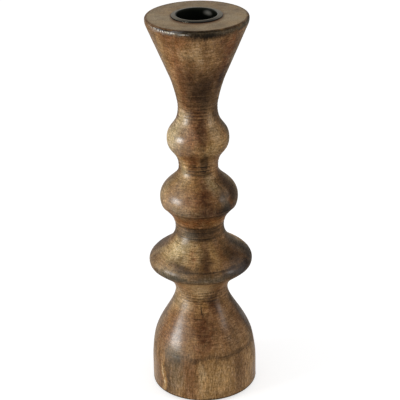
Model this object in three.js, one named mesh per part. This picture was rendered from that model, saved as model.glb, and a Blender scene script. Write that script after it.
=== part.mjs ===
// A turned wooden candle holder with a black metal cup for one dinner candle.
// Millimetres, +Z up. The origin is on the table, at the centre of the footprint.

import * as THREE from "three";

// Foot, skirt and the bell that narrows above them
const skirtRadius = 31.2;
const skirtHeight = 12.4;
const footRound = 1.0;
const scribeRingRadius = 29.9;
const scribeRingRise = 14.8;
const bellRise = 33.5;

// Lower neck, and the saucer that spreads above it
const lowerNeckRadius = 15.5;
const saucerLipRadius = 29.4;
const saucerLipRise = 16.8;
const saucerRadius = 30.3;
const saucerEdgeRise = 2.8;
const saucerTopRise = 21.2;

// Middle neck and the large bead
const middleNeckRadius = 14.2;
const largeBeadLipRadius = 21.6;
const largeBeadLipRise = 14.2;
const largeBeadRadius = 22.6;
const largeBeadEdgeRise = 4.8;
const largeBeadTopRise = 18.4;

// Upper neck and the small bead
const upperNeckRadius = 11.4;
const smallBeadUnderRise = 17.5;
const smallBeadRadius = 17.9;
const smallBeadTopRise = 19.4;

// Top neck, the trumpet that flares from it and the rolled rim round the top face
const topNeckRadius = 11.3;
const flareRise = 18.6;
const flareEndRadius = 16.1;
const trumpetRise = 29.9;
const trumpetRadius = 28.6;
const rimHeight = 3.7;
const rimSwell = 0.9;
const topFaceRadius = 28.2;

// Metal cup, sized by the candle that it holds
const candleDiameter = 22;
const candleClearance = 0.4;
const cupDepth = 24;
const cupWall = 0.8;
const cupCornerRound = 2.4;
const flangeReach = 2.2;
const flangeThickness = 0.9;
const flangeEdgeRound = 0.35;
const mouthRound = 0.6;

// Hole bored in the wood for the cup to drop into
const cupSideClearance = 0.3;
const cupEndClearance = 1.2;

// Felt pads stuck under the foot
const padCount = 4;
const padRadius = 6;
const padThickness = 1.5;
const padCircleRadius = 21;

// Facets: sides of each turned piece, and the length of a step along a curved outline
const turnedSides = 48;
const padSides = 24;
const outlineStep = 4;
const fineStep = 0.7;

const candleHoleRadius = candleDiameter / 2 + candleClearance;
const cupOuterRadius = candleHoleRadius + cupWall;
const boreRadius = cupOuterRadius + cupSideClearance;
const boreDepth = cupDepth + cupWall + cupEndClearance;

// An outline of (radius, height) points that grows curve by curve, for a lathe.
class TurnedOutline {
  constructor(radius, height) {
    this.points = [new THREE.Vector2(radius, height)];
  }

  get end() {
    return this.points[this.points.length - 1];
  }

  lineTo(radius, height) {
    this.points.push(new THREE.Vector2(radius, height));
  }

  addCurve(curve, step) {
    const pieces = Math.max(2, Math.round(curve.getLength() / step));
    this.points.push(...curve.getPoints(pieces).slice(1));
  }

  // A rounded corner: the outline heads for the corner and leaves it for its new end.
  roundTo(corner, radius, height, step = fineStep) {
    const end = new THREE.Vector2(radius, height);
    this.addCurve(new THREE.QuadraticBezierCurve(this.end, corner, end), step);
  }

  // A sweep up to another radius. Each lean is a tangent, outward per unit up, and each reach
  // is the share of the rise over which the curve keeps near its tangent.
  sweepTo(radius, rise, leaveReach, arriveReach, leaveLean = 0, arriveLean = 0) {
    const start = this.end;
    const end = new THREE.Vector2(radius, start.y + rise);
    const leave = leaveReach * rise;
    const arrive = arriveReach * rise;
    const afterStart = new THREE.Vector2(start.x + leaveLean * leave, start.y + leave);
    const beforeEnd = new THREE.Vector2(end.x - arriveLean * arrive, end.y - arrive);
    this.addCurve(new THREE.CubicBezierCurve(start, afterStart, beforeEnd, end), outlineStep);
  }
}

function turned(outline, sides = turnedSides) {
  const shape = new THREE.LatheGeometry(outline.points, sides);
  return shape.rotateX(Math.PI / 2);
}

function named(name, geometry, material) {
  const mesh = new THREE.Mesh(geometry, material);
  mesh.name = name;
  return mesh;
}

// The side of the wood from the foot to the rim, in the order in which it rises.
function addTurnedSide(outline) {
  outline.lineTo(skirtRadius - footRound, 0);
  outline.roundTo(new THREE.Vector2(skirtRadius, 0), skirtRadius, footRound);
  outline.lineTo(skirtRadius, skirtHeight);
  outline.sweepTo(scribeRingRadius, scribeRingRise, 0.4, 0.4, 0, -0.12);
  outline.sweepTo(lowerNeckRadius, bellRise, 0.41, 0.28, -0.16, 0);
  outline.sweepTo(saucerLipRadius, saucerLipRise, 0.46, 0.26, 0, 1.1);
  outline.sweepTo(saucerRadius, saucerEdgeRise, 0.25, 0.5, 0.6, 0);
  outline.sweepTo(middleNeckRadius, saucerTopRise, 0.33, 0.59);
  outline.sweepTo(largeBeadLipRadius, largeBeadLipRise, 0.44, 0.32, 0, 0.95);
  outline.sweepTo(largeBeadRadius, largeBeadEdgeRise, 0.25, 0.5, 0.45, 0);
  outline.sweepTo(upperNeckRadius, largeBeadTopRise, 0.54, 0.39);
  outline.sweepTo(smallBeadRadius, smallBeadUnderRise, 0.6, 0.46);
  outline.sweepTo(topNeckRadius, smallBeadTopRise, 0.45, 0.64);
  const trumpetLean = (trumpetRadius - flareEndRadius) / trumpetRise;
  outline.sweepTo(flareEndRadius, flareRise, 0.14, 0.3, 0, trumpetLean);
  outline.lineTo(trumpetRadius, outline.end.y + trumpetRise);
}

// The rim swells out a little past the trumpet, and rolls over into the flat top face.
function addRim(outline) {
  const topFace = outline.end.y + rimHeight;
  const swell = new THREE.Vector2(trumpetRadius + rimSwell, topFace - 0.1 * rimHeight);
  outline.roundTo(swell, topFaceRadius, topFace);
}

function addCupBore(outline) {
  const topFace = outline.end.y;
  outline.lineTo(boreRadius, topFace);
  outline.lineTo(boreRadius, topFace - boreDepth);
  outline.lineTo(0, topFace - boreDepth);
}

// One blank of wood, turned outside and bored from the top.
function turnedBody() {
  const outline = new TurnedOutline(0, 0);
  addTurnedSide(outline);
  addRim(outline);
  addCupBore(outline);
  const wood = new THREE.MeshStandardMaterial({ color: 0x6f4a2a, roughness: 0.5, metalness: 0 });
  const body = named("turned_body", turned(outline), wood);
  body.position.z = padThickness;
  return body;
}

function turnedHeight() {
  const side = new TurnedOutline(0, 0);
  addTurnedSide(side);
  return side.end.y + rimHeight;
}

// A pressed steel cup. Its height 0 is the underside of the flange, which rests on the wood.
function candleCup() {
  const floorTop = flangeThickness - cupDepth;
  const floorUnder = floorTop - cupWall;
  const flangeRadius = cupOuterRadius + flangeReach;
  const outline = new TurnedOutline(0, floorUnder);
  outline.lineTo(cupOuterRadius - cupCornerRound, floorUnder);
  const outerCorner = new THREE.Vector2(cupOuterRadius, floorUnder);
  outline.roundTo(outerCorner, cupOuterRadius, floorUnder + cupCornerRound);
  outline.lineTo(cupOuterRadius, 0);
  outline.lineTo(flangeRadius - flangeEdgeRound / 2, 0);
  outline.lineTo(flangeRadius, flangeEdgeRound / 2);
  outline.lineTo(flangeRadius, flangeThickness - flangeEdgeRound);
  outline.lineTo(flangeRadius - flangeEdgeRound, flangeThickness);
  outline.lineTo(candleHoleRadius + mouthRound, flangeThickness);
  const mouthCorner = new THREE.Vector2(candleHoleRadius, flangeThickness);
  outline.roundTo(mouthCorner, candleHoleRadius, flangeThickness - mouthRound);
  const innerRound = cupCornerRound - cupWall;
  outline.lineTo(candleHoleRadius, floorTop + innerRound);
  const innerCorner = new THREE.Vector2(candleHoleRadius, floorTop);
  outline.roundTo(innerCorner, candleHoleRadius - innerRound, floorTop);
  outline.lineTo(0, floorTop);
  const blackPaint = new THREE.MeshStandardMaterial({ color: 0x1a1b1c, roughness: 0.42, metalness: 0.4 });
  const cup = named("candle_cup", turned(outline), blackPaint);
  cup.position.z = padThickness + turnedHeight();
  return cup;
}

function feltPad(number) {
  const angle = (2 * Math.PI * (number - 0.5)) / padCount;
  const disc = new THREE.CylinderGeometry(padRadius, padRadius, padThickness, padSides);
  const felt = new THREE.MeshStandardMaterial({ color: 0x2f2b28, roughness: 0.95, metalness: 0 });
  const pad = named(`felt_pad_${number}`, disc.rotateX(Math.PI / 2), felt);
  pad.position.set(
    padCircleRadius * Math.cos(angle),
    padCircleRadius * Math.sin(angle),
    padThickness / 2,
  );
  return pad;
}

const candleHolder = new THREE.Group();
candleHolder.add(turnedBody());
candleHolder.add(candleCup());
for (let number = 1; number <= padCount; number += 1) {
  candleHolder.add(feltPad(number));
}

export default candleHolder;
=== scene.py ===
# Turned wooden candle holder with a black metal cup: looks, light and camera for its picture.
# Metres, +Z up, the front towards -Y. Angles round the stem are degrees from the front, + to the right.
import math
import random

import bmesh
import bpy
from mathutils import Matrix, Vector, noise


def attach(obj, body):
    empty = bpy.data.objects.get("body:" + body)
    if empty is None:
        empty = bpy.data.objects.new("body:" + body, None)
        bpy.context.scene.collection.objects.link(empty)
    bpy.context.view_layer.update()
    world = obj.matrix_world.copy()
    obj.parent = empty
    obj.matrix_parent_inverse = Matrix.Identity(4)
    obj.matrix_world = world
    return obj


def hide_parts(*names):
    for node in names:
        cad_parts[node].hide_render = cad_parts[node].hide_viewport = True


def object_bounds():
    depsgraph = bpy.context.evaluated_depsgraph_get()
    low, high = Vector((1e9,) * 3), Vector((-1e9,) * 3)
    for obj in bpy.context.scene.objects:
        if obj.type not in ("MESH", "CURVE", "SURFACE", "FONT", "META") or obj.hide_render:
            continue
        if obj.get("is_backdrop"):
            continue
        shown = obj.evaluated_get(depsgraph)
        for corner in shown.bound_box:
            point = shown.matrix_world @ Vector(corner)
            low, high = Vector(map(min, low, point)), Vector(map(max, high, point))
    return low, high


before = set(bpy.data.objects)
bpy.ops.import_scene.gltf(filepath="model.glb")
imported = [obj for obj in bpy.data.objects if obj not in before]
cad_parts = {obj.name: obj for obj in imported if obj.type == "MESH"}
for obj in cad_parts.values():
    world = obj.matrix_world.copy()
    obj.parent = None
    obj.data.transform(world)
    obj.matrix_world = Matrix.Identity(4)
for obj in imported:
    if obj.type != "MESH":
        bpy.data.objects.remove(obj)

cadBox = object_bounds()
print("frame loaded:", sorted(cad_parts))


# Helpers that build shader nodes

def feed(tree, socket, value):
    if isinstance(value, bpy.types.NodeSocket):
        tree.links.new(value, socket)
    else:
        socket.default_value = value


def feedAll(tree, node, values):
    for name, value in values.items():
        feed(tree, node.inputs[name], value)


def addNode(tree, kind, inputs=None, **settings):
    node = tree.nodes.new("ShaderNode" + kind)
    for name, value in settings.items():
        setattr(node, name, value)
    feedAll(tree, node, inputs or {})
    row, column = divmod(len(tree.nodes), 14)
    node.location = (column * 190, -row * 240)  # laid out in rows, so that it can be read
    return node


def calc(tree, operation, *values, clamp=False):
    inputs = dict(enumerate(values))
    return addNode(tree, "Math", inputs, operation=operation, use_clamp=clamp).outputs[0]


def times(tree, first, second):
    return calc(tree, "MULTIPLY", first, second)


def without(tree, mask):
    return calc(tree, "SUBTRACT", 1.0, mask)


def vectorCalc(tree, operation, *values):
    return addNode(tree, "VectorMath", dict(enumerate(values)), operation=operation).outputs


def remap(tree, value, low, high, toLow=0.0, toHigh=1.0, smooth=False):
    kind = "SMOOTHSTEP" if smooth else "LINEAR"
    inputs = {"Value": value, "From Min": low, "From Max": high, "To Min": toLow, "To Max": toHigh}
    # a smooth step keeps to its range by itself, and a clamp on each would fill the shader's stack
    node = addNode(tree, "MapRange", inputs, interpolation_type=kind, clamp=not smooth)
    return node.outputs[0]


def between(tree, factor, first, second):
    return addNode(tree, "Mix", {0: factor, 2: first, 3: second}).outputs[0]


def mixColour(tree, factor, first, second, blend="MIX"):
    inputs = {0: factor, 6: first, 7: second}
    return addNode(tree, "Mix", inputs, data_type="RGBA", blend_type=blend).outputs[2]


def flatPlace(tree, angle, height):
    return addNode(tree, "CombineXYZ", {"X": angle, "Y": height}).outputs[0]


def stretched(tree, position, scale):
    inputs = {"Vector": position, "Scale": scale}
    return addNode(tree, "Mapping", inputs).outputs[0]


def noiseValue(tree, vector, scale, detail=3.0, rough=0.55):
    inputs = {"Vector": vector, "Scale": scale, "Detail": detail, "Roughness": rough}
    return addNode(tree, "TexNoise", inputs).outputs["Fac"]


def bumped(tree, height, strength, distance):
    inputs = {"Strength": strength, "Distance": distance, "Height": height}
    return addNode(tree, "Bump", inputs).outputs[0]


def colour(red, green, blue):
    # from values as a screen shows them, 0 to 255
    def linear(value):
        value = value / 255
        return value / 12.92 if value <= 0.04045 else ((value + 0.055) / 1.055) ** 2.4
    return (linear(red), linear(green), linear(blue), 1.0)


def newGroup(name, inputs, outputs):
    group = bpy.data.node_groups.new(name, "ShaderNodeTree")
    for label, kind, value in inputs:
        socket = group.interface.new_socket(name=label, in_out="INPUT", socket_type="NodeSocket" + kind)
        if value is not None:
            socket.default_value = value
    for label, kind in outputs:
        group.interface.new_socket(name=label, in_out="OUTPUT", socket_type="NodeSocket" + kind)
    start = group.nodes.new("NodeGroupInput")
    end = group.nodes.new("NodeGroupOutput")
    return group, start.outputs, end


def useGroup(tree, group, inputs=None):
    return addNode(tree, "Group", inputs, node_tree=group).outputs


def newMaterial(name):
    material = bpy.data.materials.new(name)
    material.use_nodes = True
    tree = material.node_tree
    return material, tree, tree.nodes["Principled BSDF"]


def objectPosition(tree):
    return addNode(tree, "TexCoord").outputs["Object"]


# Shader node groups: effects that the materials share, and the figure of the wood

def turnedPlaceGroup():
    # Where a point is on a turned piece: degrees from the front, and millimetres up and out.
    group, given, end = newGroup(
        "turnedPlace",
        [("Position", "Vector", None), ("Foot Height", "Float", 0.0)],
        [("Angle", "Float"), ("Height", "Float"), ("Radius", "Float"), ("Ring", "Vector")],
    )
    parts = addNode(group, "SeparateXYZ", {0: given["Position"]}).outputs
    towards = times(group, parts["Y"], -1.0)
    turn = calc(group, "ARCTAN2", parts["X"], towards)
    angle = calc(group, "DEGREES", turn)
    height = times(group, calc(group, "SUBTRACT", parts["Z"], given["Foot Height"]), 1000.0)
    across = calc(group, "POWER", parts["X"], 2.0)
    along = calc(group, "POWER", parts["Y"], 2.0)
    radius = times(group, calc(group, "SQRT", calc(group, "ADD", across, along)), 1000.0)
    ring = {"X": calc(group, "SINE", turn), "Y": calc(group, "COSINE", turn), "Z": height}
    ring = addNode(group, "CombineXYZ", ring).outputs[0]
    feedAll(group, end, {"Angle": angle, "Height": height, "Radius": radius, "Ring": ring})
    return group


def softSpotGroup():
    # A soft oval on a turned piece, in degrees and millimetres, joined to the mask under it.
    # A half width of 400 makes it a band all round.
    group, given, end = newGroup(
        "softSpot",
        [
            ("Place", "Vector", None), ("Centre", "Vector", None), ("Half Size", "Vector", (10.0, 10.0, 1.0)),
            ("Edge", "Float", 0.5), ("Strength", "Float", 1.0), ("Under", "Float", 0.0),
        ],
        [("Mask", "Float")],
    )
    offset = vectorCalc(group, "SUBTRACT", given["Place"], given["Centre"])[0]
    offset = vectorCalc(group, "WRAP", offset, (180.0, 1000.0, 1.0), (-180.0, -1000.0, -1.0))[0]
    offset = vectorCalc(group, "DIVIDE", offset, given["Half Size"])[0]
    away = vectorCalc(group, "LENGTH", offset)["Value"]
    outer = calc(group, "ADD", 1.0, given["Edge"])
    mask = remap(group, away, without(group, given["Edge"]), outer, 1.0, 0.0, smooth=True)
    mask = times(group, mask, given["Strength"])
    feedAll(group, end, {"Mask": calc(group, "MAXIMUM", mask, given["Under"])})
    return group


def woodFigureGroup():
    # Figure of a blank whose fibres run up the stem: slow clouds, streaks, fibres and open pores.
    group, given, end = newGroup(
        "woodFigure",
        [("Position", "Vector", None)],
        [("Cloud", "Float"), ("Streak", "Float"), ("Fibre", "Float"), ("Pore", "Float")],
    )
    position = given["Position"]
    sway = addNode(group, "TexNoise", {"Vector": position, "Scale": 22.0, "Detail": 2.0})
    pull = vectorCalc(group, "SUBTRACT", sway.outputs["Color"], (0.5, 0.5, 0.5))[0]
    shift = vectorCalc(group, "MULTIPLY", pull, (0.012, 0.012, 0.012))[0]
    bent = vectorCalc(group, "ADD", position, shift)[0]
    cloud = noiseValue(group, stretched(group, bent, (1.0, 1.0, 0.5)), 62.0, 5.0, 0.6)
    streak = noiseValue(group, stretched(group, bent, (1.0, 1.0, 0.07)), 210.0, 4.0, 0.62)
    fibre = noiseValue(group, stretched(group, bent, (1.0, 1.0, 0.09)), 1150.0, 3.0, 0.6)
    pore = noiseValue(group, stretched(group, bent, (1.0, 1.0, 0.14)), 1900.0, 1.0, 0.5)
    feedAll(group, end, {
        "Cloud": remap(group, cloud, 0.34, 0.66), "Streak": remap(group, streak, 0.32, 0.68),
        "Fibre": fibre, "Pore": remap(group, pore, 0.62, 0.74, smooth=True),
    })
    return group


def latheLinesGroup():
    # Lines that a gouge and sanding leave round a turned piece, in millimetres. Spread breaks them into arcs.
    group, given, end = newGroup(
        "latheLines",
        [
            ("Ring", "Vector", None), ("Radius", "Float", 0.0),
            ("Pitch", "Float", 1.0), ("Spread", "Float", 0.35),
        ],
        [("Fine", "Float"), ("Coarse", "Float")],
    )
    spread = addNode(group, "CombineXYZ", {"X": given["Spread"], "Y": given["Spread"], "Z": 1.0})
    ring = stretched(group, given["Ring"], spread.outputs[0])
    pace = calc(group, "DIVIDE", 1.0, given["Pitch"])
    slow = times(group, pace, 0.24)
    for label, scale, detail in (("Fine", pace, 2.0), ("Coarse", slow, 1.0)):
        inputs = {"Vector": ring, "W": given["Radius"], "Scale": scale, "Detail": detail, "Roughness": 0.6}
        lines = addNode(group, "TexNoise", inputs, noise_dimensions="4D").outputs["Fac"]
        feedAll(group, end, {label: remap(group, lines, 0.32, 0.68)})
    return group


def scuffsGroup():
    # Small worn places. Cover is the share of the surface that they take.
    group, given, end = newGroup(
        "scuffs",
        [("Position", "Vector", None), ("Scale", "Float", 400.0), ("Cover", "Float", 0.3)],
        [("Mask", "Float"), ("Haze", "Float")],
    )
    speck = noiseValue(group, given["Position"], given["Scale"], 4.0, 0.7)
    haze = noiseValue(group, given["Position"], times(group, given["Scale"], 0.2), 3.0, 0.6)
    level = remap(group, given["Cover"], 0.0, 1.0, 0.75, 0.3)
    mask = remap(group, speck, level, calc(group, "ADD", level, 0.06), smooth=True)
    feedAll(group, end, {"Mask": mask, "Haze": remap(group, haze, 0.3, 0.7)})
    return group


turnedPlace = turnedPlaceGroup()
softSpot = softSpotGroup()
woodFigure = woodFigureGroup()
latheLines = latheLinesGroup()
scuffs = scuffsGroup()
print("shared node groups made")


def spotMask(tree, place, angle, height, halfWidth, halfHeight, edge=0.5, strength=1.0, under=0.0):
    return useGroup(tree, softSpot, {
        "Place": place, "Centre": (angle, height, 0.0), "Half Size": (halfWidth, halfHeight, 1.0),
        "Edge": edge, "Strength": strength, "Under": under,
    })["Mask"]


def lathed(tree, place, pitch, spread=0.35):
    inputs = {"Ring": place["Ring"], "Radius": place["Radius"], "Pitch": pitch, "Spread": spread}
    return useGroup(tree, latheLines, inputs)


def scuffed(tree, position, scale, cover):
    return useGroup(tree, scuffs, {"Position": position, "Scale": scale, "Cover": cover})


# Turned wood

wood = {
    "padThickness": 0.0015, "sides": 256, "step": 0.00045,
    "centreMarkRadius": 0.0018, "centreMarkDepth": 0.0012,
    "skirtRadius": 0.0312, "skirtHeight": 0.0124, "footRound": 0.0010,
    # sweeps up the side, in the order in which it rises: radius, rise, the shares of the rise over which
    # the ends keep near their tangents, and the leans of those tangents
    "sweeps": {
        "scribeRing": (0.0299, 0.0148, 0.4, 0.4, 0, -0.12),
        "lowerNeck": (0.0155, 0.0335, 0.41, 0.28, -0.16, 0),
        "saucerLip": (0.0294, 0.0168, 0.46, 0.26, 0, 1.1), "saucer": (0.0303, 0.0028, 0.25, 0.5, 0.6, 0),
        "middleNeck": (0.0142, 0.0212, 0.33, 0.59), "largeBeadLip": (0.0216, 0.0142, 0.44, 0.32, 0, 0.95),
        "largeBead": (0.0226, 0.0048, 0.25, 0.5, 0.45, 0), "upperNeck": (0.0114, 0.0184, 0.54, 0.39),
        "smallBead": (0.0179, 0.0175, 0.6, 0.46), "topNeck": (0.0113, 0.0194, 0.45, 0.64),
    },
    "flareRise": 0.0186, "flareEndRadius": 0.0161, "trumpetRise": 0.0299, "trumpetRadius": 0.0286,
    "rimHeight": 0.0037, "rimSwell": 0.0009, "topFaceRadius": 0.0282,
    "boreRadius": 0.0125, "boreDepth": 0.0260, "boreEdge": 0.0003,
    # steps along the flat parts of the outline
    "steps": {
        "centreMark": 0.0004, "underside": 0.0015, "topFace": 0.0009, "bore": 0.004, "boreFloor": 0.003,
    },
    "sharpAngle": 50,
    # the bow of the stem: its height, where the true skirt ends, how far it takes to set in, its curve
    "stemHeight": 0.228, "bowFrom": 0.012, "bowOver": 0.024,
    "bowSquare": 0.006853, "bowCube": 0.000349, "bowFourth": 0.002322,
    # hand work sets in above the foot, leaves the wood never quite round and chatters along the rim
    "handWorkOver": 0.002, "outOfRound": 0.00006,
    "chatterHeight": 0.2262, "chatterSpread": 0.0014, "chatterDepth": 0.00022,
    # rings cut round the wood: height of the middle, depth (minus stands proud), half width
    "ringCuts": (
        (0.0274, 0.00020, 0.00060), (0.0290, 0.00010, 0.0006),
        (0.0584, 0.00016, 0.00040), (0.0603, 0.00020, 0.00045), (0.0618, 0.00012, 0.00035),
        (0.0641, 0.00015, 0.00045), (0.0662, 0.00008, 0.00040),
        (0.0768, 0.00018, 0.00040), (0.0782, -0.00008, 0.00040), (0.0840, 0.00010, 0.00045),
        (0.0968, 0.00007, 0.00040), (0.0985, 0.00010, 0.00045), (0.1003, 0.00008, 0.00035),
        (0.1022, 0.00012, 0.00045), (0.1045, 0.00016, 0.00050), (0.1060, -0.00014, 0.00050),
        (0.1146, 0.00016, 0.00050), (0.1160, -0.00008, 0.00045),
        (0.1377, 0.00015, 0.00040), (0.1387, -0.00007, 0.00030), (0.1397, 0.00017, 0.00040),
        (0.1423, 0.00016, 0.00045), (0.1452, 0.00008, 0.00040),
        (0.1680, 0.00006, 0.00035), (0.1695, 0.00008, 0.00035), (0.1712, 0.00010, 0.00040),
        (0.1722, -0.00004, 0.00030), (0.1731, 0.00010, 0.00040), (0.1750, 0.00009, 0.00035),
        (0.1758, -0.00003, 0.00030), (0.1772, 0.00006, 0.00040), (0.1791, 0.00009, 0.00040),
        (0.1812, 0.00008, 0.00040), (0.1834, 0.00007, 0.00045),
    ),
    # small knocks: angle, height, half width (degrees), half height, depth
    "knocks": (
        (-63, 0.2264, 5, 0.0012, 0.00025), (-34, 0.2258, 4, 0.0009, 0.00020),
        (24, 0.1207, 5, 0.0014, 0.00018), (-41, 0.0806, 4, 0.0012, 0.00018),
        (63, 0.0795, 5, 0.0012, 0.00020), (-8, 0.0020, 3, 0.0010, 0.00025),
        (142, 0.2262, 4, 0.0010, 0.00022), (118, 0.0800, 5, 0.0013, 0.00022),
        (-150, 0.1190, 5, 0.0016, 0.00020), (166, 0.0026, 5, 0.0012, 0.00030),
    ),
}


def sweepTo(outline, radius, rise, leaveReach, arriveReach, leaveLean=0.0, arriveLean=0.0):
    startRadius, startHeight = outline[-1]
    leave = leaveReach * rise
    arrive = arriveReach * rise
    start = Vector((startRadius, startHeight))
    end = Vector((radius, startHeight + rise))
    afterStart = Vector((start.x + leaveLean * leave, start.y + leave))
    beforeEnd = Vector((end.x - arriveLean * arrive, end.y - arrive))
    steps = max(6, round((end - start).length * 1.1 / wood["step"]))
    for index in range(1, steps + 1):
        t = index / steps
        s = 1 - t
        point = start * s ** 3 + afterStart * 3 * s * s * t + beforeEnd * 3 * s * t * t + end * t ** 3
        outline.append((point.x, point.y))


def straightTo(outline, radius, height, step=None):
    start = Vector(outline[-1])
    end = Vector((radius, height))
    steps = max(1, round((end - start).length / (step or wood["step"])))
    for index in range(1, steps + 1):
        point = start.lerp(end, index / steps)
        outline.append((point.x, point.y))


def roundTo(outline, corner, radius, height, steps=8):
    start = Vector(outline[-1])
    corner = Vector(corner)
    end = Vector((radius, height))
    for index in range(1, steps + 1):
        t = index / steps
        point = start * (1 - t) ** 2 + corner * 2 * t * (1 - t) + end * t * t
        outline.append((point.x, point.y))


def woodOutline():
    # The same outline as the solid's, with finer steps, and the mark of the lathe's centre underneath.
    steps = wood["steps"]
    outline = [(0.0, wood["centreMarkDepth"])]
    straightTo(outline, wood["centreMarkRadius"], 0.0, steps["centreMark"])
    straightTo(outline, wood["skirtRadius"] - wood["footRound"], 0.0, steps["underside"])
    roundTo(outline, (wood["skirtRadius"], 0.0), wood["skirtRadius"], wood["footRound"])
    straightTo(outline, wood["skirtRadius"], wood["skirtHeight"])
    for sweep in wood["sweeps"].values():
        sweepTo(outline, *sweep)
    trumpetLean = (wood["trumpetRadius"] - wood["flareEndRadius"]) / wood["trumpetRise"]
    sweepTo(outline, wood["flareEndRadius"], wood["flareRise"], 0.14, 0.3, 0, trumpetLean)
    straightTo(outline, wood["trumpetRadius"], outline[-1][1] + wood["trumpetRise"])
    topFace = outline[-1][1] + wood["rimHeight"]
    swell = (wood["trumpetRadius"] + wood["rimSwell"], topFace - 0.1 * wood["rimHeight"])
    roundTo(outline, swell, wood["topFaceRadius"], topFace, 14)
    sideEnd = len(outline)
    straightTo(outline, wood["boreRadius"], topFace, steps["topFace"])
    straightTo(outline, wood["boreRadius"], topFace - wood["boreEdge"], wood["boreEdge"])
    straightTo(outline, wood["boreRadius"], topFace - wood["boreDepth"], steps["bore"])
    straightTo(outline, 0.0, topFace - wood["boreDepth"], steps["boreFloor"])
    return outline, sideEnd


def bowOfAxis(height):
    # The stem isn't dead straight: its middle stands about 1 mm to the left, and the skirt stands true.
    t = 2 * height / wood["stemHeight"] - 1
    above = min(1.0, max(0.0, (height - wood["bowFrom"]) / wood["bowOver"]))
    curve = wood["bowSquare"] * (t * t - 1) + wood["bowCube"] * (t ** 3 - t)
    return above * wood["stemHeight"] * (curve - wood["bowFourth"] * (t ** 4 - 1))


def handWork(angle, height):
    # How far the hand-turned surface stands inside the true outline, at an angle in degrees.
    inset = 0.0
    for middle, depth, halfWidth in wood["ringCuts"]:
        away = (height - middle) / halfWidth
        if abs(away) < 3:
            inset += depth * math.exp(-away * away)
    for knockAngle, middle, halfAngle, halfHeight, depth in wood["knocks"]:
        across = ((angle - knockAngle + 180) % 360 - 180) / halfAngle
        along = (height - middle) / halfHeight
        if abs(across) < 2.5 and abs(along) < 2.5:
            inset += depth * math.exp(-across * across - along * along)
    turn = math.radians(angle)
    around = Vector((math.cos(turn), math.sin(turn), height * 60))
    inset += wood["outOfRound"] * (1 + noise.noise(around * 1.3))
    rim = math.exp(-((height - wood["chatterHeight"]) / wood["chatterSpread"]) ** 2)
    if rim > 0.01:  # the tool chattered along the rim
        chatter = noise.noise(Vector((angle * 0.55, height * 900, 3.0)))
        inset += rim * wood["chatterDepth"] * max(0.0, chatter + 0.1)
    return inset


def turnedMesh(name, outline, sides, place):
    # place(angle in degrees, index, radius, height) gives each point.
    rings = []
    points = []
    faces = []
    for index, (radius, height) in enumerate(outline):
        count = 1 if radius < 1e-6 else sides
        rings.append((len(points), count))
        for side in range(count):
            points.append(place(360 * side / sides, index, radius, height))
    for (low, lowCount), (high, highCount) in zip(rings, rings[1:]):
        for side in range(sides):
            after = (side + 1) % sides
            lower = [low + side % lowCount, low + after % lowCount]
            upper = [high + after % highCount, high + side % highCount]
            face = list(dict.fromkeys(lower + upper))
            if len(face) > 2:
                faces.append(face)
    mesh = bpy.data.meshes.new(name)
    mesh.from_pydata(points, [], faces)
    mesh.polygons.foreach_set("use_smooth", [True] * len(faces))
    mesh.update()
    piece = bpy.data.objects.new(name, mesh)
    bpy.context.scene.collection.objects.link(piece)
    return piece


def makeTurnedWood():
    outline, sideEnd = woodOutline()
    lift = wood["padThickness"]

    def place(angle, index, radius, height):
        turn = math.radians(angle)
        bow = 0.0
        if index < sideEnd and height > 0:
            radius -= handWork(angle, height) * min(1.0, height / wood["handWorkOver"])
            bow = bowOfAxis(height)
        return (radius * math.sin(turn) + bow, -radius * math.cos(turn), height + lift)

    piece = turnedMesh("turnedWood", outline, wood["sides"], place)
    piece.data.set_sharp_from_angle(angle=math.radians(wood["sharpAngle"]))
    return piece


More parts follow.
